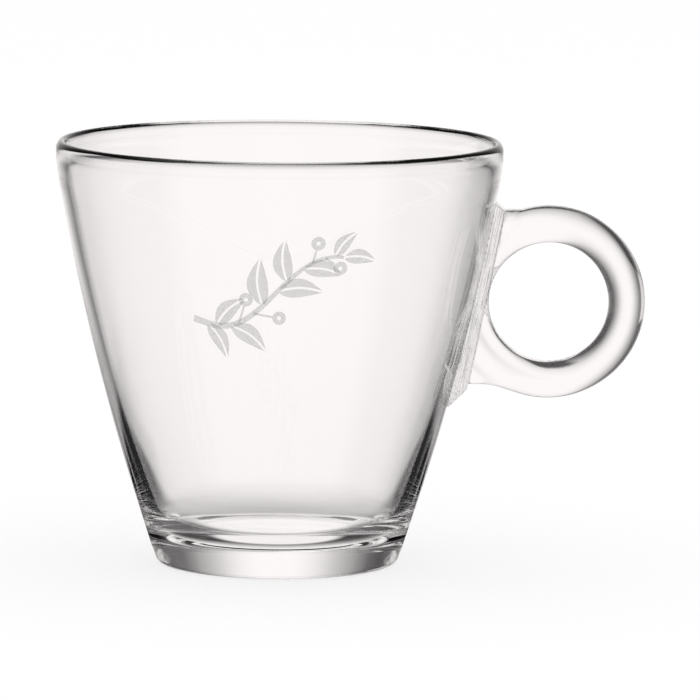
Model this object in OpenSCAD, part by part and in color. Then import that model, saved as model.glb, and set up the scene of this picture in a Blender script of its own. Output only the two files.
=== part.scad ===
// Espresso glass: a heavy-based clear glass bowl with a glass ring handle fused to its wall.
// Millimetres. The origin is the middle of the foot, on the table. +Z is up, +X is the handle's side.

/* [Bowl outside] */
// Outside diameter at the lip
rim_d = 66; // [60:0.5:76]
// Height from the table to the top of the lip
cup_h = 62.5; // [56:0.5:72]
// Diameter that the outside of the wall runs down to at the table
foot_d = 35.4; // [31:0.2:40]
// How far the outside of the wall bows out from a straight cone
wall_bow = 1.3; // [0.6:0.1:2.4]
// Height of the lip's oval top, which starts where the outside of the wall ends
lip_h = 2.2; // [1.4:0.1:3.2]
// Rounding of the outer corner of the foot
foot_round = 1.2; // [0.6:0.1:2]

/* [Bowl inside] */
// Thickness of the lip
lip_t = 2; // [1.5:0.1:2.6]
// Height from the top of the lip down to where the inside of the wall starts to slope
lip_in_h = 5.4; // [4:0.1:7.5]
// Thickness of the wall at the level of the inner floor
heel_t = 2.6; // [2:0.1:4]
// How far the inside of the wall bows out from a straight cone
cavity_bow = 1.5; // [0.8:0.1:2.2]
// Thickness of the base, from the table to the edge of the inner floor
base_t = 4.3; // [3.2:0.1:7]
// Rounding between the inner floor and the wall
floor_round = 7.6; // [5:0.1:10]
// Rise of the inner floor's middle above its edge
floor_dome = 0.8; // [0.3:0.1:1.6]
// Depth of the shallow recess under the foot
recess_depth = 0.3; // [0.2:0.05:1]
// Width of the flat ring that the glass stands on
stand_w = 2.4; // [1.6:0.1:4]

/* [Ring handle] */
// Diameter of the finger hole
hole_d = 17.6; // [15:0.1:22]
// Diameter of the ring's round section
ring_t = 5.4; // [4.2:0.1:6.6]
// Height of the hole's centre above the table
ring_z = 39; // [35:0.2:43]
// Glass between the hole and the face of the pad
land_t = 0.5; // [0.3:0.1:1.6]

/* [Handle pad and web] */
// Width of the pad along the wall
pad_w = 5.8; // [4.6:0.2:9]
// Thickness of the pad at its upper end
pad_top_t = 1.5; // [1:0.1:2.5]
// Thickness of the pad at its lower end
pad_foot_t = 2.1; // [1.2:0.1:3]
// How far the pad reaches above the ring
pad_over = 0.4; // [0.2:0.1:2]
// How far the pad reaches below the ring
pad_under = 1.4; // [0.6:0.1:3]
// Height of the bevel at the pad's upper end
top_bevel_h = 1.1; // [0.6:0.1:2]
// Height of the bevel at the pad's lower end
foot_bevel_h = 2.7; // [1.6:0.1:4]
// Thickness of the flat web between the pad and the ring
web_t = 4.6; // [3:0.1:5.2]
// Angle on the ring, from the handle's side, where the web's top edge ends
web_top_angle = 112; // [100:1:125]
// How far the web's lower edge lies below the hole's centre
web_drop = 12.2; // [9.5:0.1:13]

/* [Hidden] */

glass = [0.90, 0.93, 0.92, 0.5];
arc_fn = 1440;
round_fn = 160;
small_fn = 64;

rim_r = rim_d / 2;
hole_r = hole_d / 2;
lip_r = lip_t / 2;
lip_z = cup_h - lip_h;
ring_mid_r = hole_r + ring_t / 2;
ring_out_r = hole_r + ring_t;

// A bow is an arc from a to b, bowed to the right. Its centre and radius:
function bow_radius(a, b, bow) = pow(norm(b - a), 2) / (8 * bow) + bow / 2;
function bow_centre(a, b, bow) =
    (a + b) / 2 + (bow_radius(a, b, bow) - bow) / norm(b - a) * [a.y - b.y, b.x - a.x];
function bow_x(c, r, y) = c.x + sqrt(r * r - pow(y - c.y, 2));

// Radius of the ball whose cap has the given edge radius and height
function cap_radius(edge_r, height) = (edge_r * edge_r + height * height) / (2 * height);

// The outside of the wall, from the table to the lip
wall_low = [foot_d / 2, 0];
wall_high = [rim_r, lip_z];
wall_c = bow_centre(wall_low, wall_high, wall_bow);
wall_arc_r = bow_radius(wall_low, wall_high, wall_bow);
function wall_x(z) = bow_x(wall_c, wall_arc_r, z);

// The inside of the wall, from the inner floor to the lip
cavity_low = [wall_x(base_t) - heel_t, base_t];
cavity_high = [rim_r - lip_t, cup_h - lip_in_h];

// The inner floor is the cap of a ball that runs out just inside the rounding
dome_r = round_centre(cavity_low, cavity_high, cavity_bow, floor_round).x + floor_round / 40;
dome_arc_r = cap_radius(dome_r, floor_dome);

// The flat ring underneath, inside the rounded corner of the foot
corner_x = round_centre(wall_low, wall_high, wall_bow, foot_round).x;
recess_r = corner_x - stand_w;
recess_arc_r = cap_radius(recess_r, recess_depth);

// The pad's straight face, between its two bevels
pad_top_z = ring_z + ring_out_r + pad_over;
pad_low_z = ring_z - ring_out_r - pad_under;
face_top = [wall_x(pad_top_z - top_bevel_h) + pad_top_t, pad_top_z - top_bevel_h];
face_low = [wall_x(pad_low_z + foot_bevel_h) + pad_foot_t, pad_low_z + foot_bevel_h];
function face_x(z) = face_low.x + (face_top.x - face_low.x) * (z - face_low.y) / (face_top.y - face_low.y);
ring_c = [face_x(ring_z) + land_t + hole_r, ring_z];

// Centre of the corner circle that touches the bow and the level line through a
function round_centre(a, b, bow, r) =
    let (c = bow_centre(a, b, bow), reach = bow_radius(a, b, bow) - r)
    [bow_x(c, reach, a.y + r), a.y + r];

// Half outline of a bowed cup: flat bottom, rounded corner, bowed side from a to b, upright up to top_z
module cup_outline(a, b, bow, corner_r, top_z) {
    c = bow_centre(a, b, bow);
    r = bow_radius(a, b, bow);
    k = round_centre(a, b, bow, corner_r);
    touch = c + (k - c) * r / (r - corner_r);
    difference() {
        intersection() {
            translate([0, a.y]) square([b.x, top_z - a.y]);
            translate(c) circle(r, $fn = arc_fn);
        }
        polygon([k, [k.x, a.y - corner_r], [touch.x + corner_r, a.y - corner_r], touch]);
    }
    translate(k) circle(corner_r, $fn = small_fn);
}

module outside_outline(top_z) cup_outline(wall_low, wall_high, wall_bow, foot_round, top_z);

// Cut of the bowl through its axis
module bowl_section() {
    difference() {
        outside_outline(lip_z);
        cup_outline(cavity_low, cavity_high, cavity_bow, floor_round, cup_h);
        translate([0, recess_depth - recess_arc_r]) circle(recess_arc_r, $fn = arc_fn);
    }
    intersection() {
        translate([rim_r - lip_r, lip_z]) scale([1, lip_h / lip_r]) circle(lip_r, $fn = small_fn);
        translate([rim_r - lip_t, lip_z]) square([lip_t, lip_h + lip_t]);
    }
    intersection() {
        translate([0, base_t + floor_dome - dome_arc_r]) circle(dome_arc_r, $fn = arc_fn);
        translate([0, base_t - floor_dome]) square([dome_r + floor_dome, 3 * floor_dome]);
    }
}

module bowl() {
    color(glass) rotate_extrude($fn = round_fn) bowl_section();
}

// A flat piece standing in the plane of the handle, t thick across it
module slab(t) {
    rotate([90, 0, 0]) linear_extrude(height = t, center = true) children();
}

module ring() {
    translate([ring_c.x, 0, ring_c.y]) rotate([90, 0, 0]) rotate_extrude($fn = round_fn)
        translate([ring_mid_r, 0]) circle(d = ring_t, $fn = small_fn);
}

// Side view of the pad, reaching into the wall that later trims it
module pad_side() {
    sink = foot_d / 4;
    polygon([
        [wall_x(pad_low_z), pad_low_z], face_low, face_top, [wall_x(pad_top_z), pad_top_z],
        [wall_x(pad_top_z) - sink, pad_top_z], [wall_x(pad_low_z) - sink, pad_low_z]
    ]);
}

// Side view of the web, from the wall to the middle of the ring's section
module web_side() {
    top_end = ring_c + ring_out_r * [cos(web_top_angle), sin(web_top_angle)];
    low_end = ring_c - [0, web_drop];
    difference() {
        polygon([
            [wall_x(ring_z), ring_z], [wall_x(face_low.y), ring_z - web_drop], low_end,
            ring_c, top_end, face_top
        ]);
        translate(ring_c) circle(ring_mid_r, $fn = round_fn);
    }
}

module handle() {
    color(glass) difference() {
        union() {
            ring();
            slab(web_t) web_side();
            slab(pad_w) pad_side();
        }
        rotate_extrude($fn = round_fn) outside_outline(cup_h);
    }
}

bowl();
handle();
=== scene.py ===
import math

import bpy
import numpy as np
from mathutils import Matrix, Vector


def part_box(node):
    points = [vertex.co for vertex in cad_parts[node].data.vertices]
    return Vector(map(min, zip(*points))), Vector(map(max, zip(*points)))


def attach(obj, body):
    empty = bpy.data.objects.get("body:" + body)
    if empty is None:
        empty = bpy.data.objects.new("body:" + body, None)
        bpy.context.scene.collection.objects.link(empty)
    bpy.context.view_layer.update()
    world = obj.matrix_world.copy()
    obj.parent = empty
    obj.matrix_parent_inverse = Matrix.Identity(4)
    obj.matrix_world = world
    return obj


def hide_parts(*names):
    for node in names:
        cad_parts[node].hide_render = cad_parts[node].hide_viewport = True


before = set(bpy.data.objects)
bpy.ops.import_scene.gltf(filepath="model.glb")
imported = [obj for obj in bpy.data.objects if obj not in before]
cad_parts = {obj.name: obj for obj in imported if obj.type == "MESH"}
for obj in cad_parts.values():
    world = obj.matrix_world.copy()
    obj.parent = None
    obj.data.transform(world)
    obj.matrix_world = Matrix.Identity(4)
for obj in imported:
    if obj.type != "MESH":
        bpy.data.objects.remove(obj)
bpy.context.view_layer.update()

# Sizes are in millimetres up to the moment a mesh is written, and metres from there on
MM = 0.001

# What the frame gives
BOWL_HIGH = np.array(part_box("bowl")[1]) / MM
HANDLE_LOW, HANDLE_HIGH = (np.array(corner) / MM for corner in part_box("handle"))
RIM_R = BOWL_HIGH[1]
CUP_H = BOWL_HIGH[2]

# Bowl
FOOT_R = 17.7
WALL_BOW = 1.3         # how far the outside bows out from a straight cone
LIP_BAND_H = 2.2       # height of the lip's oval top on the outside
FOOT_ROUND = 1.2
LIP_T = 2.0
LIP_IN_ROUND_H = 3.2   # height of the lip's oval top on the inside
LIP_BAND_IN_H = 5.4    # from the top down to where the inside starts to slope
HEEL_T = 2.6           # thickness of the wall at the inner floor
CAVITY_BOW = 1.5
BASE_T = 4.3
FLOOR_ROUND = 7.6
FLOOR_DOME = 0.8       # rise of the inner floor's middle
RECESS_DEPTH = 0.3
STAND_W = 2.4          # width of the flat ring that the glass stands on
POLISH = 0.22          # reach of the fire polish that softens the bowl's edges
LIP_POLISH = 1.2       # its reach below the lip, where the glass was hottest
LIP_POLISH_STARTS = (1.0, 2.0)  # distances below the top between which that reach sets in
LIP_POLISH_ENDS = (8.0, 10.0)   # and between which it fades out

# Fineness of the bowl
CORNER_POINTS = 24
SIDE_POINTS = 120
CAP_POINTS = 40
LIP_POINTS = 32
OUTLINE_STEP = 0.05    # spacing of the outline's points while it is polished
POLISH_WINDOW = 4      # the polish looks this many reaches to either side
OUTLINE_TURN = math.radians(3)  # largest bend between two points that stay
OUTLINE_REACH = 1.0    # and their largest distance
BOWL_STEPS = 384

# Handle
HOLE_R = 8.8
RING_T = 5.4
RING_Z = 39.0
PAD_W = HANDLE_HIGH[1] - HANDLE_LOW[1]
PAD_TOP_T = 1.5
PAD_FOOT_T = 2.1
TOP_BEVEL_H = 1.1
FOOT_BEVEL_H = 2.7
WEB_T = (2.6, 4.3)     # where it runs out on the ring, and at the pad
WEB_TOP_ANGLE = math.radians(112)
WEB_DROP = 12.2        # depth of its lower edge below the middle of the hole
WEB_EDGE = 0.9         # rounding of the web's edges
FLAT_FROM = (125, 40)  # degrees from the pad between which the ring turns from round to flat-sided
PAD_EDGE = 0.35        # rounding of the pad's edges
WEB_BLEND = 1.4        # reach of the blend between ring and web
PAD_BLEND = 0.12       # reach of the blend at the pad
JOINT_GAP = 0.012      # keeps the handle off the wall, so that they share no surface
RING_OUT_R = HOLE_R + RING_T
RING_MID_R = HOLE_R + RING_T / 2
RING_C = np.array([HANDLE_HIGH[0] - RING_OUT_R, RING_Z])

# Fineness of the handle
HANDLE_GRID = 0.22     # size of the cells from which its mesh is made
MARGIN_CELLS = 3       # empty cells round it
FIRST_PULLS = 4        # how often the first points are pulled on to the surface
RELAX_ROUNDS = 3       # how often they are evened out
RELAX_SHARE = 0.5
RELAX_PULLS = 2        # how often they are pulled back each time
LEAST_SLOPE = 0.05     # squared slopes below this count as this, so that no point jumps
TINY = 0.001           # keeps a division away from zero

# Etched sprig on the front of the wall
SPRIG_Z = 43.6
SPRIG_LIFT = 0.03      # lies this far off the wall
STEM_SPAN = (-12.6, 9.4)
STEM_RISE = 0.36       # rise per millimetre
STEM_WAVE = (2.6, 0.26)  # height of its wave, and radians per millimetre
STEM_HALF = (0.5, 0.24)  # half width at its foot and at its end
STEM_ROWS = 60
LEAF_PLACES = (0.1, 0.26, 0.42, 0.58, 0.74, 0.88)  # shares of the stem, with a leaf on either side
LEAF_SHIFT = 0.06      # how much further along the upper leaf sits
LEAF_LENGTHS = ((0.0, 0.45, 1.0), (5.6, 7.4, 4.6))  # shares of the stem, and the lengths there
LEAF_ANGLE = math.radians(48)
LEAF_HALF = 0.21       # half width per length
LEAF_BOW = 0.09        # sideways bow per length
LEAF_SKEW = 0.75       # below one, the widest place lies nearer the foot
LEAF_FOOT = 0.04       # share of the length where the leaf starts
LEAF_TIP_HALF = 0.01
LEAF_GRID = (18, 5)    # rows along a half leaf, and points across it
END_LEAF = (5.0, 1.1)  # length and half width
RIB_HALF = 0.16        # half of the clear line along a leaf
BERRY_EVERY = 3        # on either side, every third place has a berry and no leaf
BERRY_REACH = 0.52     # how far out it sits, per length of the leaf that it replaces
BERRY_R = (0.3, 1.0)   # radius of its clear middle, and of the berry
BERRY_ROWS = 25
STALK_HALF = 0.16

# Camera: where it stands, where it aims, and the picture's scale
CAMERA_AT = (10.54, -1000.0, 161.52)
CAMERA_AIM = (10.54, 0.0, 31.52)
CAMERA_ROLL = math.radians(0.5)
PIXELS_PER_MM = 6.79
PICTURE_PIXELS = 700
SENSOR_MM = 36.0

# Light paths: a ray meets many glass surfaces before it leaves
GLASS_BOUNCES = 96
GLOSSY_BOUNCES = 20


# Curves

def bow(a, b, height):
    """Centre and radius of the arc from a to b that bows out to the right by height."""
    a, b = np.array(a), np.array(b)
    chord = np.linalg.norm(b - a)
    radius = chord ** 2 / (8 * height) + height / 2
    left = np.array([a[1] - b[1], b[0] - a[0]]) / chord
    return (a + b) / 2 + left * (radius - height), radius


def bow_x(centre, radius, z):
    return centre[0] + np.sqrt(radius ** 2 - (z - centre[1]) ** 2)


def arc(centre, radius, start, end, count):
    """Points on an arc between two angles in radians."""
    turn = np.linspace(start, end, count)
    return np.column_stack([centre[0] + radius * np.cos(turn), centre[1] + radius * np.sin(turn)])


def angle_of(point, centre):
    return math.atan2(point[1] - centre[1], point[0] - centre[0])


WALL_C, WALL_ARC_R = bow((FOOT_R, 0.0), (RIM_R, CUP_H - LIP_BAND_H), WALL_BOW)


def wall_x(z):
    """Outside radius of the wall at height z."""
    return bow_x(WALL_C, WALL_ARC_R, z)


def cup_side(low, high, height, corner_r):
    """Outline of one side of the wall: the rounded corner at its foot, then the bowed side up to high."""
    centre, radius = bow(low, high, height)
    corner_z = low[1] + corner_r
    corner = np.array([bow_x(centre, radius - corner_r, corner_z), corner_z])
    touch = angle_of(corner, centre)
    turn = arc(corner, corner_r, -math.pi / 2, touch, CORNER_POINTS)
    side = arc(centre, radius, touch, angle_of(high, centre), SIDE_POINTS)
    return corner[0], np.vstack([turn, side[1:]])


def resample(points, spacing):
    """The same line with even spacing."""
    steps = np.linalg.norm(np.diff(points, axis=0), axis=1)
    along = np.concatenate([[0.0], np.cumsum(steps)])
    even = np.linspace(0.0, along[-1], int(along[-1] / spacing))
    return np.column_stack([np.interp(even, along, points[:, k]) for k in (0, 1)])


def fire_polish(points, reach, spacing):
    """Softens the corners of a closed half outline whose two ends lie on the axis."""
    count = int(POLISH_WINDOW * reach / spacing)
    weights = np.exp(-0.5 * (np.arange(-count, count + 1) * spacing / reach) ** 2)
    weights /= weights.sum()
    flip = np.array([-1.0, 1.0])
    longer = np.vstack([points[count:0:-1] * flip, points, points[-2:-count - 2:-1] * flip])
    soft = np.column_stack([np.convolve(longer[:, k], weights, "valid") for k in (0, 1)])
    soft[0, 0] = soft[-1, 0] = 0.0
    return soft


def thin_out(points, max_turn, max_step):
    """Drops points where the line hardly bends."""
    kept = [0]
    heading = np.unwrap(np.arctan2(*np.diff(points, axis=0).T[::-1]))
    for i in range(1, len(points) - 1):
        bend = abs(heading[i] - heading[kept[-1]])
        step = np.linalg.norm(points[i] - points[kept[-1]])
        if bend > max_turn or step > max_step:
            kept.append(i)
    return points[kept + [len(points) - 1]]


# Meshes

def new_object(name, points_mm, faces):
    mesh = bpy.data.meshes.new(name)
    mesh.from_pydata((np.asarray(points_mm) * MM).tolist(), [], faces)
    mesh.validate()
    mesh.shade_smooth()
    piece = bpy.data.objects.new(name, mesh)
    bpy.context.collection.objects.link(piece)
    return piece


def level_square(name, reach, z):
    """A level sheet that reaches equally far to all sides."""
    corners = [(-reach, -reach, z), (reach, -reach, z), (reach, reach, z), (-reach, reach, z)]
    return new_object(name, corners, [(0, 1, 2, 3)])


def lathe(name, outline, steps):
    """Turns a half outline, whose ends lie on the axis, about Z into a closed mesh."""
    turn = np.arange(steps) * 2 * math.pi / steps
    points = [(0.0, 0.0, outline[0][1]), (0.0, 0.0, outline[-1][1])]
    rings = []
    for radius, z in outline[1:-1]:
        rings.append(len(points))
        points += [(radius * math.cos(t), radius * math.sin(t), z) for t in turn]
    faces = []
    for i in range(steps):
        j = (i + 1) % steps
        faces.append((0, rings[0] + j, rings[0] + i))
        faces.append((1, rings[-1] + i, rings[-1] + j))
        for low, high in zip(rings, rings[1:]):
            faces.append((low + i, low + j, high + j, high + i))
    return new_object(name, points, faces)


def bowl_outline():
    """Half outline of the bowl, from the middle of its underside round the lip to its inner floor."""
    wall_high = (RIM_R, CUP_H - LIP_BAND_H)
    corner_x, outside = cup_side((FOOT_R, 0.0), wall_high, WALL_BOW, FOOT_ROUND)
    recess_r = corner_x - STAND_W
    recess_arc_r = (recess_r ** 2 + RECESS_DEPTH ** 2) / (2 * RECESS_DEPTH)
    recess_c = (0.0, RECESS_DEPTH - recess_arc_r)
    recess_end = angle_of((recess_r, 0.0), recess_c)
    recess = arc(recess_c, recess_arc_r, math.pi / 2, recess_end, CAP_POINTS)
    lip_r = LIP_T / 2
    quarter = arc((0.0, 0.0), lip_r, 0.0, math.pi / 2, LIP_POINTS) / (1.0, lip_r)
    lip_out = quarter * (1.0, LIP_BAND_H) + (RIM_R - lip_r, CUP_H - LIP_BAND_H)
    lip_in = quarter[-2::-1] * (-1.0, LIP_IN_ROUND_H) + (RIM_R - lip_r, CUP_H - LIP_IN_ROUND_H)
    cavity_low = (wall_x(BASE_T) - HEEL_T, BASE_T)
    cavity_high = (RIM_R - LIP_T, CUP_H - LIP_BAND_IN_H)
    floor_r, inside = cup_side(cavity_low, cavity_high, CAVITY_BOW, FLOOR_ROUND)
    floor_x = np.linspace(floor_r, 0.0, CAP_POINTS)[1:]
    floor_z = BASE_T + FLOOR_DOME * (1 - (floor_x / floor_r) ** 2)
    floor = np.column_stack([floor_x, floor_z])
    return np.vstack([recess, outside, lip_out, lip_in, inside[::-1], floor])


def make_bowl():
    fine = resample(bowl_outline(), OUTLINE_STEP)
    soft = fire_polish(fine, POLISH, OUTLINE_STEP)
    softer = fire_polish(fine, LIP_POLISH, OUTLINE_STEP)
    below = CUP_H - fine[:, 1]
    share = np.interp(below, LIP_POLISH_STARTS + LIP_POLISH_ENDS, (0.0, 1.0, 1.0, 0.0))
    soft += share[:, None] * (softer - soft)
    return lathe("glass_bowl", thin_out(soft, OUTLINE_TURN, OUTLINE_REACH), BOWL_STEPS)


# The handle is the zero surface of a distance field: ring, web and pad, blended where they meet

def sd_polygon(corners, x, z):
    """Signed distance to a polygon in the plane of the handle."""
    corners = np.asarray(corners)
    nearest = np.full(x.shape, np.inf)
    inside = np.zeros(x.shape, bool)
    for a, b in zip(corners, np.roll(corners, -1, axis=0)):
        edge = b - a
        right, up = x - a[0], z - a[1]
        along = np.clip((right * edge[0] + up * edge[1]) / edge.dot(edge), 0, 1)
        nearest = np.minimum(nearest, np.hypot(right - along * edge[0], up - along * edge[1]))
        if a[1] != b[1]:
            crosses = (a[1] > z) != (b[1] > z)
            inside ^= crosses & (x < a[0] + up * edge[0] / edge[1])
    return np.where(inside, -nearest, nearest)


def sd_slab(flat, y, thickness, edge):
    """A flat shape, thickness across, with rounded edges."""
    across = np.abs(y) - thickness / 2 + edge
    flat = flat + edge
    outside = np.hypot(np.maximum(flat, 0), np.maximum(across, 0))
    return np.minimum(np.maximum(flat, across), 0) + outside - edge


def blend_union(a, b, reach):
    """Joins two fields with a soft corner between them."""
    mix = np.clip(0.5 + 0.5 * (b - a) / reach, 0, 1)
    return b + (a - b) * mix - reach * mix * (1 - mix)


PAD_TOP_Z = HANDLE_HIGH[2]
PAD_LOW_Z = HANDLE_LOW[2]
FACE_TOP = np.array([wall_x(PAD_TOP_Z - TOP_BEVEL_H) + PAD_TOP_T, PAD_TOP_Z - TOP_BEVEL_H])
FACE_LOW = np.array([wall_x(PAD_LOW_Z + FOOT_BEVEL_H) + PAD_FOOT_T, PAD_LOW_Z + FOOT_BEVEL_H])
SINK = FOOT_R / 2      # how far the pad reaches into the wall before the wall cuts it
PAD_SIDE = [
    (wall_x(PAD_LOW_Z), PAD_LOW_Z),
    FACE_LOW,
    FACE_TOP,
    (wall_x(PAD_TOP_Z), PAD_TOP_Z),
    (wall_x(PAD_TOP_Z) - SINK, PAD_TOP_Z),
    (wall_x(PAD_LOW_Z) - SINK, PAD_LOW_Z),
]
WEB_SIDE = [
    (wall_x(RING_Z), RING_Z),
    (wall_x(FACE_LOW[1]), RING_Z - WEB_DROP),
    RING_C - (0, WEB_DROP),
    RING_C,
    RING_C + RING_OUT_R * np.array([math.cos(WEB_TOP_ANGLE), math.sin(WEB_TOP_ANGLE)]),
    FACE_TOP,
]


def handle_field(p):
    """Signed distance to the handle's surface, in millimetres, for an array of points."""
    x, y, z = p[..., 0], p[..., 1], p[..., 2]
    from_centre = np.hypot(x - RING_C[0], z - RING_C[1])
    towards_pad = (RING_C[0] - x) / np.maximum(from_centre, TINY)
    from_pad = np.degrees(np.arccos(np.clip(towards_pad, -1, 1)))
    flat = np.clip((from_pad - FLAT_FROM[0]) / (FLAT_FROM[1] - FLAT_FROM[0]), 0, 1)
    flat = flat * flat * (3 - 2 * flat)
    ring_flat = np.abs(from_centre - RING_MID_R) - RING_T / 2
    ring_t = RING_T + flat * (WEB_T[1] - RING_T)
    ring_edge = RING_T / 2 + flat * (WEB_EDGE - RING_T / 2)
    ring = sd_slab(ring_flat, y, ring_t, ring_edge)
    web_flat = np.maximum(sd_polygon(WEB_SIDE, x, z), RING_MID_R - from_centre)
    web = sd_slab(web_flat, y, WEB_T[0] + flat * (WEB_T[1] - WEB_T[0]), WEB_EDGE)
    pad = sd_slab(sd_polygon(PAD_SIDE, x, z), y, PAD_W, PAD_EDGE)
    solid = blend_union(blend_union(ring, web, WEB_BLEND), pad, PAD_BLEND)
    off_wall = np.hypot(np.hypot(x, y) - WALL_C[0], z - WALL_C[1]) - WALL_ARC_R
    return np.maximum(solid, JOINT_GAP - off_wall)


def gradient(field, p, step=0.01):
    slopes = []
    for axis in np.eye(3):
        slopes.append((field(p + step * axis) - field(p - step * axis)) / (2 * step))
    return np.stack(slopes, axis=-1)


def to_surface(field, p, rounds):
    """Pulls points on to the field's zero surface."""
    for _ in range(rounds):
        slope = gradient(field, p)
        steepness = np.maximum((slope ** 2).sum(axis=1), LEAST_SLOPE)
        p = p - field(p)[:, None] * slope / steepness[:, None]
    return p


def surface_net(field, low, high, step):
    """Closed quad mesh of the field's zero surface: one point in each grid cell that it crosses."""
    axes = [np.arange(a, b + step, step) for a, b in zip(low, high)]
    inside = field(np.stack(np.meshgrid(*axes, indexing="ij"), axis=-1)) < 0
    shape = tuple(count - 1 for count in inside.shape)
    full = np.zeros(shape, int)
    cell_corners = list(np.ndindex(2, 2, 2))
    for i, j, k in cell_corners:
        full += inside[i:i + shape[0], j:j + shape[1], k:k + shape[2]]
    mixed = (full > 0) & (full < len(cell_corners))
    index = np.full(shape, -1)
    index[mixed] = np.arange(mixed.sum())
    points = np.array(low) + (np.argwhere(mixed) + 0.5) * step
    faces = []
    for axis in range(3):
        order = (axis, (axis + 1) % 3, (axis + 2) % 3)
        near = np.moveaxis(inside, order, (0, 1, 2))
        cell = np.moveaxis(index, order, (0, 1, 2))
        a, b = near[:-1, 1:-1, 1:-1], near[1:, 1:-1, 1:-1]
        for wanted, turned in ((a & ~b, False), (~a & b, True)):
            i, j, k = np.nonzero(wanted)
            quad = [cell[i, j, k], cell[i, j + 1, k], cell[i, j + 1, k + 1], cell[i, j, k + 1]]
            faces.append(np.column_stack(quad[::-1] if turned else quad))
    return points, np.vstack(faces)


def relax(points, faces, share):
    """Moves each point towards the middle of its neighbours."""
    total = np.zeros_like(points)
    count = np.zeros(len(points))
    for k in range(4):
        a, b = faces[:, k], faces[:, (k + 1) % 4]
        np.add.at(total, a, points[b])
        np.add.at(total, b, points[a])
        np.add.at(count, a, 1)
        np.add.at(count, b, 1)
    return points + share * (total / count[:, None] - points)


def make_handle():
    margin = MARGIN_CELLS * HANDLE_GRID
    low, high = HANDLE_LOW - margin, HANDLE_HIGH + margin
    points, faces = surface_net(handle_field, low, high, HANDLE_GRID)
    points = to_surface(handle_field, points, FIRST_PULLS)
    for _ in range(RELAX_ROUNDS):
        points = to_surface(handle_field, relax(points, faces, RELAX_SHARE), RELAX_PULLS)
    piece = new_object("glass_handle", points, faces.tolist())
    slopes = gradient(handle_field, points)
    slopes /= np.linalg.norm(slopes, axis=1)[:, None]
    piece.data.normals_split_custom_set_from_vertices(slopes.tolist())
    return piece


# The sprig is drawn flat, in millimetres along the wall and up from its middle, and laid on the wall

def stem_point(share):
    along = STEM_SPAN[0] + share * (STEM_SPAN[1] - STEM_SPAN[0])
    return np.array([along, STEM_RISE * along + STEM_WAVE[0] * math.sin(STEM_WAVE[1] * along)])


def stem_angle(share, step=0.01):
    return angle_of(stem_point(share + step), stem_point(share - step))


def along_angle(angle):
    return np.array([math.cos(angle), math.sin(angle)])


def stem_grid():
    rows = []
    for share in np.linspace(0.0, 1.0, STEM_ROWS):
        half = np.interp(share, (0, 1), STEM_HALF)
        across = along_angle(stem_angle(share) + math.pi / 2)
        rows.append([stem_point(share) - half * across, stem_point(share) + half * across])
    return rows


def leaf_grids(foot, angle, length, half_width):
    """The two halves of a pointed leaf with a clear line between them."""
    ahead, across = along_angle(angle), along_angle(angle + math.pi / 2)
    grids = []
    for side in (-1, 1):
        rows = []
        for share in np.linspace(LEAF_FOOT, 1.0, LEAF_GRID[0]):
            half = max(half_width * math.sin(math.pi * share ** LEAF_SKEW), LEAF_TIP_HALF)
            aside = LEAF_BOW * length * math.sin(math.pi * share)
            middle = foot + share * length * ahead + aside * across
            reaches = np.linspace(min(RIB_HALF, half), half, LEAF_GRID[1])
            rows.append([middle + side * across * reach for reach in reaches])
        grids.append(rows)
    return grids


def berry_grid(middle):
    turns = np.linspace(0.0, 2 * math.pi, BERRY_ROWS)
    return [[middle + radius * along_angle(turn) for radius in BERRY_R] for turn in turns]


def stalk_grid(foot, angle, length):
    across = STALK_HALF * along_angle(angle + math.pi / 2)
    ends = (foot, foot + length * along_angle(angle))
    return [[end - across, end + across] for end in ends]


def sprig_grids():
    """Stem, leaves, berries and stalks as grids of points, row by row."""
    grids = [stem_grid()]
    for k, share in enumerate(LEAF_PLACES):
        for side, upper in ((-1, 0), (1, 1)):
            at = share + LEAF_SHIFT * upper
            foot = stem_point(at)
            length = np.interp(at, *LEAF_LENGTHS)
            angle = stem_angle(at) + side * LEAF_ANGLE
            if (k + upper + 1) % BERRY_EVERY == 0:
                reach = BERRY_REACH * length
                grids.append(berry_grid(foot + reach * along_angle(angle)))
                grids.append(stalk_grid(foot, angle, reach - BERRY_R[1]))
            else:
                grids += leaf_grids(foot, angle, length, LEAF_HALF * length)
    grids += leaf_grids(stem_point(1.0), stem_angle(1.0), *END_LEAF)
    return grids


def make_sprig():
    points, faces = [], []
    for grid in sprig_grids():
        grid = np.array(grid)
        first, width = len(points), grid.shape[1]
        for along, up in grid.reshape(-1, 2):
            radius = wall_x(SPRIG_Z + up) + SPRIG_LIFT
            turn = along / wall_x(SPRIG_Z)
            points.append((radius * math.sin(turn), -radius * math.cos(turn), SPRIG_Z + up))
        for row in range(grid.shape[0] - 1):
            for k in range(width - 1):
                corner = first + row * width + k
                faces.append((corner, corner + 1, corner + width + 1, corner + width))
    return new_object("etched_sprig", points, faces)


# Materials

# Depths are in millimetres, and scales are per metre
GLASS_IOR = 1.51
WAVE_SCALE = 70.0
WAVE_DETAIL = 1.0
WAVE_DEPTH = 0.02
LINE_DEPTH = 0.45
LINE_DETAIL = 2.0
LINE_SPREAD = (3.4, 0.05)  # drawn lines of the pad, per millimetre across and along it
LINE_FADE = (0.2, -0.05)   # millimetres off the pad's face between which they set in
FROST_SCALE = 2500.0
FROST_TONES = ((0.3, 0.14), (0.7, 0.3))  # values of the grain, and the brightness there
FROST_ROUGHNESS = 0.85
FROST_SHINE = 0.2
FROST_COVER = 0.36


def grey(tone):
    return (tone, tone, tone, 1.0)


def new_material(name):
    material = bpy.data.materials.new(name)
    material.use_nodes = True
    return material, material.node_tree, material.node_tree.nodes["Principled BSDF"]


def feed(tree, socket, value):
    """Sets a socket to a number or a colour, or links it to another node's socket."""
    if isinstance(value, (int, float, tuple)):
        socket.default_value = value
    else:
        tree.links.new(value, socket)


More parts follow.
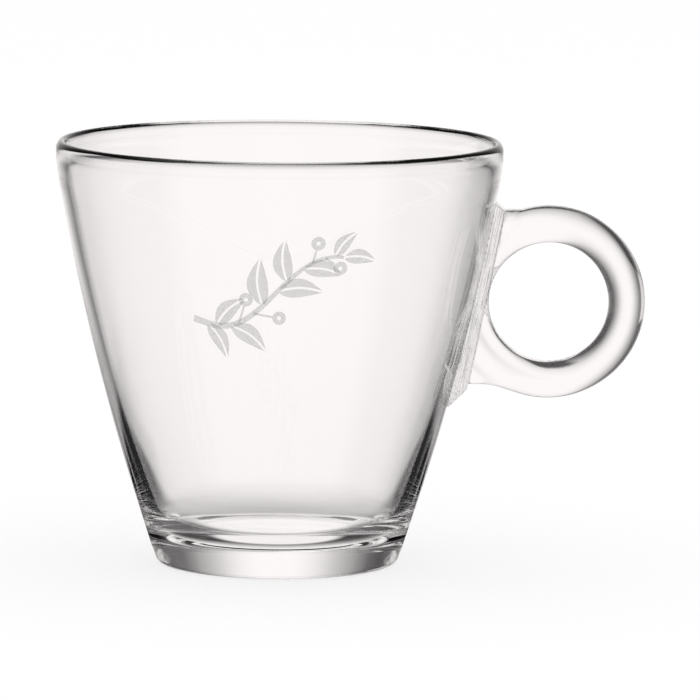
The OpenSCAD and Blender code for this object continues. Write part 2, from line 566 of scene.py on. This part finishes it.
def math_node(tree, operation, *values):
    node = tree.nodes.new("ShaderNodeMath")
    node.operation = operation
    for socket, value in zip(node.inputs, values):
        feed(tree, socket, value)
    return node.outputs[0]


def map_range(tree, value, start, end):
    node = tree.nodes.new("ShaderNodeMapRange")
    node.inputs["From Min"].default_value = start
    node.inputs["From Max"].default_value = end
    tree.links.new(value, node.inputs["Value"])
    return node


def fade(tree, value, start, end):
    """Zero at start and one at end, with a soft step between them."""
    share = map_range(tree, value, start, end)
    share.interpolation_type = "SMOOTHSTEP"
    return share.outputs[0]


def tone_ramp(tree, value, tones):
    """Brightness along a value, linear between stops that each give a value and its brightness."""
    low, high = tones[0][0], tones[-1][0]
    share = map_range(tree, value, low, high)
    ramp = tree.nodes.new("ShaderNodeValToRGB")
    stops = ramp.color_ramp.elements
    while len(stops) < len(tones):
        stops.new(0.5)
    for stop, (at, tone) in zip(stops, tones):
        stop.position = (at - low) / (high - low)
        stop.color = grey(tone)
    tree.links.new(share.outputs[0], ramp.inputs[0])
    return ramp.outputs["Color"]


def mix_colour(tree, factor, a, b):
    mix = tree.nodes.new("ShaderNodeMix")
    mix.data_type = "RGBA"
    for name, value in (("Factor", factor), ("A", a), ("B", b)):
        feed(tree, mix.inputs[name], value)
    return mix.outputs["Result"]


def mix_surface(tree, factor, a, b):
    """Makes the material's surface a mix of two shaders."""
    mix = tree.nodes.new("ShaderNodeMixShader")
    for socket, value in zip(mix.inputs, (factor, a.outputs[0], b.outputs[0])):
        feed(tree, socket, value)
    tree.links.new(mix.outputs[0], tree.nodes["Material Output"].inputs["Surface"])


def split_position(tree):
    """The shaded point's x, y and z in millimetres."""
    place = tree.nodes.new("ShaderNodeNewGeometry")
    split = tree.nodes.new("ShaderNodeSeparateXYZ")
    tree.links.new(place.outputs["Position"], split.inputs[0])
    return [math_node(tree, "DIVIDE", socket, MM) for socket in split.outputs]


def through_glass(tree):
    """One for a ray that comes off or through the glass."""
    path = tree.nodes.new("ShaderNodeLightPath").outputs
    return math_node(tree, "MAXIMUM", path["Is Glossy Ray"], path["Is Transmission Ray"])


def object_axis(tree, axis):
    """Distance along an axis of the piece, in millimetres."""
    place = tree.nodes.new("ShaderNodeTexCoord")
    dot = tree.nodes.new("ShaderNodeVectorMath")
    dot.operation = "DOT_PRODUCT"
    dot.inputs[1].default_value = Vector(axis) / MM
    tree.links.new(place.outputs["Object"], dot.inputs[0])
    return dot.outputs["Value"]


def object_noise(tree, scale):
    """Noise that is fixed to the piece."""
    place = tree.nodes.new("ShaderNodeTexCoord")
    noise = tree.nodes.new("ShaderNodeTexNoise")
    noise.inputs["Scale"].default_value = scale
    tree.links.new(place.outputs["Object"], noise.inputs["Vector"])
    return noise


def waviness(tree):
    """Slow waves of a pressed surface."""
    waves = object_noise(tree, WAVE_SCALE)
    waves.inputs["Detail"].default_value = WAVE_DETAIL
    return math_node(tree, "MULTIPLY", waves.outputs[0], WAVE_DEPTH)


def drawn_lines(tree):
    """Fine lines along the pad, where the hot glass was pressed on to the wall."""
    ahead = (FACE_TOP - FACE_LOW) / np.linalg.norm(FACE_TOP - FACE_LOW)
    out = np.array([ahead[1], -ahead[0]])
    along = object_axis(tree, (ahead[0], 0.0, ahead[1]))
    off_face = object_axis(tree, (out[0], 0.0, out[1]))
    off_face = math_node(tree, "SUBTRACT", off_face, float(out.dot(FACE_LOW)))
    join = tree.nodes.new("ShaderNodeCombineXYZ")
    for socket, value, spread in zip(join.inputs, (off_face, along), LINE_SPREAD):
        tree.links.new(math_node(tree, "MULTIPLY", value, spread), socket)
    lines = tree.nodes.new("ShaderNodeTexNoise")
    lines.inputs["Scale"].default_value = 1.0
    lines.inputs["Detail"].default_value = LINE_DETAIL
    tree.links.new(join.outputs[0], lines.inputs["Vector"])
    depth = math_node(tree, "MULTIPLY", fade(tree, off_face, *LINE_FADE), LINE_DEPTH)
    return math_node(tree, "MULTIPLY", lines.outputs[0], depth)


def glass(name, *details):
    """Clear soda-lime glass. The details are heights of its surface, in millimetres."""
    material, tree, shader = new_material(name)
    shader.inputs["Base Color"].default_value = (1.0, 1.0, 1.0, 1.0)
    shader.inputs["Roughness"].default_value = 0.0
    shader.inputs["IOR"].default_value = GLASS_IOR
    shader.inputs["Transmission Weight"].default_value = 1.0
    height = waviness(tree)
    for detail in details:
        height = math_node(tree, "ADD", height, detail(tree))
    bump = tree.nodes.new("ShaderNodeBump")
    bump.inputs["Distance"].default_value = MM
    tree.links.new(height, bump.inputs["Height"])
    tree.links.new(bump.outputs[0], shader.inputs["Normal"])
    return material


def frost(name):
    """Etched glass: a grey, grainy film that lets most of the light through."""
    material, tree, shader = new_material(name)
    grain = object_noise(tree, FROST_SCALE)
    tone = tone_ramp(tree, grain.outputs[0], FROST_TONES)
    tree.links.new(tone, shader.inputs["Base Color"])
    shader.inputs["Roughness"].default_value = FROST_ROUGHNESS
    shader.inputs["Specular IOR Level"].default_value = FROST_SHINE
    shader.inputs["Alpha"].default_value = FROST_COVER
    return material


# Stage

# The camera sees a white room. The glass shows a studio: a large light behind it that fades to its sides
# and downwards, dark sides, a pale front, and the cup's painted shadow: two dark strips beside the foot.
BLACK = grey(0.0)
WHITE = grey(1.0)
WARM = (1.0, 0.967, 0.963, 1.0)

# Tones of the studio by direction: degrees round the room from straight behind the glass, and brightness.
# The left and the right of the light go on from its middle, and end at the front.
LIGHT_MIDDLE = ((5, 0.98), (9, 0.93), (12, 0.86))
LEVEL_SIDE = (
    (15, 0.76), (19, 0.6), (24, 0.44), (28, 0.33), (31, 0.22), (38, 0.07), (65, 0.05), (105, 0.15),
    (125, 0.9), (180, 0.95),
)
LOW_LEFT = (
    (15, 0.76), (19, 0.6), (24, 0.44), (28, 0.32), (31, 0.2), (38, 0.15), (43, 0.75), (125, 0.9),
    (180, 0.95),
)
LOW_RIGHT = (
    (15, 0.76), (19, 0.58), (24, 0.4), (28, 0.28), (31, 0.18), (38, 0.07), (60, 0.05), (80, 0.75),
    (125, 0.9), (180, 0.95),
)
DEEP_LEFT = (
    (15, 0.76), (19, 0.55), (21, 0.42), (24, 0.2), (28, 0.03), (36, 0.03), (44, 0.12), (52, 0.5),
    (62, 0.85), (125, 0.92), (180, 0.95),
)
DEEP_RIGHT = (
    (15, 0.74), (19, 0.55), (24, 0.36), (28, 0.2), (31, 0.12), (38, 0.05), (60, 0.03), (80, 0.75),
    (125, 0.92), (180, 0.95),
)
UP_TONES = ((-180, 0.6), (-75, 0.8), (-25, 0.2), (0, 0.12), (75, 0.12), (180, 0.6))
STEEP_TONE = grey(0.9)

# Degrees above the horizon between which each of these sets in
UP_FROM = (40.0, 56.0)
LOW_FROM = (3.0, 0.5)
DEEP_FROM = (-18.5, -22.0)
STEEP_FROM = (-52.0, -62.0)

# How the light falls off below the horizon: degrees above it, and the share of the brightness that is left
FALL_TONES = (
    (-62, 0.05), (-53, 0.22), (-46, 0.42), (-37, 0.56), (-31, 0.66), (-25, 0.77), (-20, 0.87), (-14, 0.95),
    (-8, 1.0), (0, 1.0),
)
FALL_FROM = (70.0, 45.0)       # degrees from straight behind the glass between which the fall sets in

# The cup's painted shadow on the table spreads from the foot to the back, and shows in the glass alone. An
# edge has its distance from the middle at the foot, and what that gains per millimetre behind the foot.
# The other pairs are where a soft edge starts and ends.
PAINTED_SHADOW_REACH = 120.0
PAINTED_SHADOW_Z = -0.1
# Brightness of the painted shadow, the cup's shadow on the table
PAINTED_SHADOW_TONE = grey(0.02)
PAINTED_SHADOW_INNER = (8.0, 0.45)
PAINTED_SHADOW_OUTER = (44.0, 0.55)
PAINTED_SHADOW_RIGHT_LESS = -0.4         # change of the outer gain on the right
PAINTED_SHADOW_RIGHT_FROM = (-1.0, 1.0)  # where left turns to right
PAINTED_SHADOW_SOFT = 8.0                # width of the soft edges
PAINTED_SHADOW_ROUND = (19.0, 26.0)      # clear of the foot
PAINTED_SHADOW_BACK = (66.0, 46.0)
PAINTED_SHADOW_FRONT = (-5.0, 5.0)

FLOOR_REACH = 1500.0
FLOOR_Z = -0.05
FLOOR_TONE = grey(0.95)
SHADOW_SHARE = 0.25            # how much of the object's shadow the floor shows
LAMP_Z = 900.0
LAMP_SIZE = 900.0
LAMP_POWER = 1.0


def round_room(left, right):
    """Tones from the front round the left, the light and the right to the front again."""
    left, right = LIGHT_MIDDLE + left, LIGHT_MIDDLE + right
    return tuple((-at, tone) for at, tone in reversed(left)) + right


def make_world():
    """White to the camera and on the floor, and the studio to the glass."""
    world = bpy.data.worlds.new("studio")
    bpy.context.scene.world = world
    world.use_nodes = True
    tree = world.node_tree
    place = tree.nodes.new("ShaderNodeTexCoord")
    split = tree.nodes.new("ShaderNodeSeparateXYZ")
    tree.links.new(place.outputs["Generated"], split.inputs[0])
    x, y, z = split.outputs
    height = math_node(tree, "DEGREES", math_node(tree, "ARCSINE", z))
    turn = math_node(tree, "DEGREES", math_node(tree, "ARCTAN2", x, y))
    tone = tone_ramp(tree, turn, round_room(LEVEL_SIDE, LEVEL_SIDE))
    bands = (
        (UP_TONES, UP_FROM),
        (round_room(LOW_LEFT, LOW_RIGHT), LOW_FROM),
        (round_room(DEEP_LEFT, DEEP_RIGHT), DEEP_FROM),
    )
    for tones, start in bands:
        tone = mix_colour(tree, fade(tree, height, *start), tone, tone_ramp(tree, turn, tones))
    behind = fade(tree, math_node(tree, "ABSOLUTE", turn), *FALL_FROM)
    fall = math_node(tree, "SUBTRACT", tone_ramp(tree, height, FALL_TONES), 1.0)
    fall = math_node(tree, "MULTIPLY_ADD", fall, behind, 1.0)
    tone = math_node(tree, "MULTIPLY", tone, fall)
    tone = mix_colour(tree, fade(tree, height, *STEEP_FROM), tone, STEEP_TONE)
    tone = mix_colour(tree, tone, BLACK, WARM)
    tone = mix_colour(tree, through_glass(tree), WHITE, tone)
    tree.links.new(tone, tree.nodes["Background"].inputs["Color"])


def make_painted_shadow():
    """The cup's painted shadow on the table: dark strips that show in the glass alone."""
    shadow_sheet = level_square("painted_cup_shadow", PAINTED_SHADOW_REACH, PAINTED_SHADOW_Z)
    material, tree, _ = new_material("painted_shadow_dark")
    x, y, _ = split_position(tree)
    aside = math_node(tree, "ABSOLUTE", x)
    right = fade(tree, x, *PAINTED_SHADOW_RIGHT_FROM)
    inner = math_node(tree, "MULTIPLY_ADD", y, PAINTED_SHADOW_INNER[1], PAINTED_SHADOW_INNER[0])
    gain = math_node(tree, "MULTIPLY_ADD", right, PAINTED_SHADOW_RIGHT_LESS, PAINTED_SHADOW_OUTER[1])
    outer = math_node(tree, "MULTIPLY_ADD", y, gain, PAINTED_SHADOW_OUTER[0])
    squares = math_node(tree, "MULTIPLY_ADD", x, x, math_node(tree, "MULTIPLY", y, y))
    shadow_cover = fade(tree, math_node(tree, "SUBTRACT", aside, inner), 0.0, PAINTED_SHADOW_SOFT)
    edges = (
        (math_node(tree, "SUBTRACT", aside, outer), (PAINTED_SHADOW_SOFT, 0.0)),
        (math_node(tree, "SQRT", squares), PAINTED_SHADOW_ROUND),
        (y, PAINTED_SHADOW_BACK),
        (y, PAINTED_SHADOW_FRONT),
    )
    for value, edge in edges:
        shadow_cover = math_node(tree, "MULTIPLY", shadow_cover, fade(tree, value, *edge))
    clear = tree.nodes.new("ShaderNodeBsdfTransparent")
    dark = tree.nodes.new("ShaderNodeEmission")
    # Painted shadow: a dark glow on a clear sheet, where the cup's shadow falls on the table behind it
    dark.inputs["Color"].default_value = PAINTED_SHADOW_TONE
    mix_surface(tree, shadow_cover, clear, dark)
    shadow_sheet.data.materials.append(material)
    shadow_sheet.visible_camera = False
    shadow_sheet.visible_diffuse = False
    shadow_sheet.visible_shadow = False


def make_floor():
    """Pale floor with a light shadow. The glass shows the studio in its place."""
    floor = level_square("floor", FLOOR_REACH, FLOOR_Z)
    material, tree, shader = new_material("floor_white")
    shader.inputs["Base Color"].default_value = FLOOR_TONE
    shader.inputs["Roughness"].default_value = 1.0
    shader.inputs["Specular IOR Level"].default_value = 0.0
    glow = tree.nodes.new("ShaderNodeEmission")
    mix_surface(tree, SHADOW_SHARE, glow, shader)
    floor.data.materials.append(material)
    floor.visible_transmission = False
    floor.visible_glossy = False


def make_lamp():
    """A soft light straight above the glass. A lamp shines down without being turned."""
    lamp = bpy.data.lights.new("softbox", "AREA")
    lamp.size = LAMP_SIZE * MM
    lamp.energy = LAMP_POWER
    lamp_object = bpy.data.objects.new("softbox", lamp)
    lamp_object.location = (0.0, 0.0, LAMP_Z * MM)
    bpy.context.collection.objects.link(lamp_object)


def make_camera():
    camera = bpy.data.cameras.new("camera")
    camera_object = bpy.data.objects.new("camera", camera)
    at, aim = Vector(CAMERA_AT), Vector(CAMERA_AIM)
    camera.sensor_width = SENSOR_MM
    camera.lens = PIXELS_PER_MM * (aim - at).length * SENSOR_MM / PICTURE_PIXELS
    camera_object.location = at * MM
    look = (aim - at).to_track_quat("-Z", "Y").to_matrix().to_4x4()
    camera_object.rotation_euler = look.to_euler()
    camera_object.rotation_euler.rotate_axis("Z", CAMERA_ROLL)
    bpy.context.collection.objects.link(camera_object)
    bpy.context.scene.camera = camera_object


bowl = make_bowl()
bowl.data.materials.append(glass("bowl_glass"))
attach(bowl, "root")
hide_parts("bowl")

handle = make_handle()
handle.data.materials.append(glass("handle_glass", drawn_lines))
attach(handle, "root")
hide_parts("handle")

sprig = make_sprig()
sprig.data.materials.append(frost("etched_frost"))
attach(sprig, "root")

make_world()
make_painted_shadow()
make_floor()
make_lamp()
make_camera()

scene = bpy.context.scene
scene.view_settings.view_transform = "Standard"
scene.cycles.max_bounces = GLASS_BOUNCES
scene.cycles.transmission_bounces = GLASS_BOUNCES
scene.cycles.glossy_bounces = GLOSSY_BOUNCES
